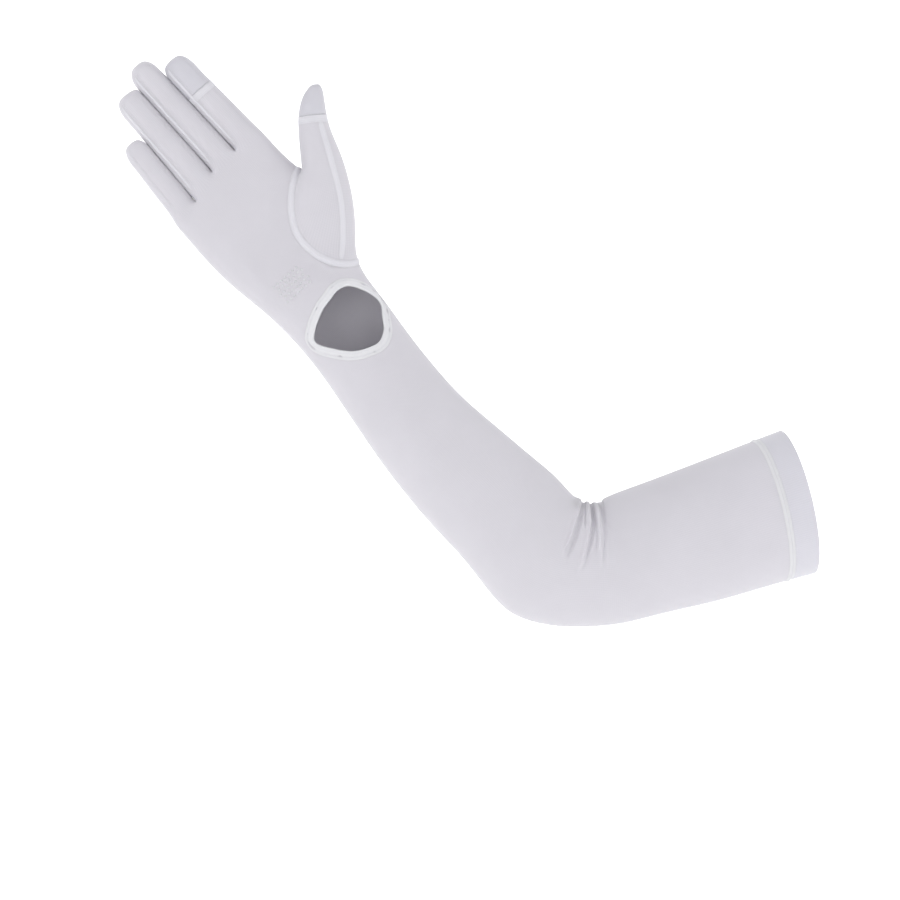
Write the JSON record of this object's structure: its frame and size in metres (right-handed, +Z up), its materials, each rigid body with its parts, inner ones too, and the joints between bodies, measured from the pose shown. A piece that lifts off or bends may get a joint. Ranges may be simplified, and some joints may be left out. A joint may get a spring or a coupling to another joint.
{
  "type": "driving glove",
  "caption": "Long thin-knit driving glove for the right hand, with a sleeve over the bent elbow, a bound opening at the wrist and touch panels on the index finger and thumb.",
  "frame": {"origin": "centre of the open hem at the upper arm, where the arm goes in", "axes": "+X to the right as seen from the palm side, toward the hem; +Z up, toward the fingertips; -Y out of the palm"},
  "size_m": [0.4501, 0.1076, 0.3668],
  "materials": {
    "knit": "smooth fine white knit",
    "band": "folded white knit band",
    "touch_knit": "pale grey conductive knit"
  },
  "bodies": {
    "root": {"glove_body": "knit", "thumb": "knit", "thumb_tip": "touch_knit", "index_tip": "touch_knit", "hem_band": "band", "wrist_binding": "band"}
  },
  "joints": []
}
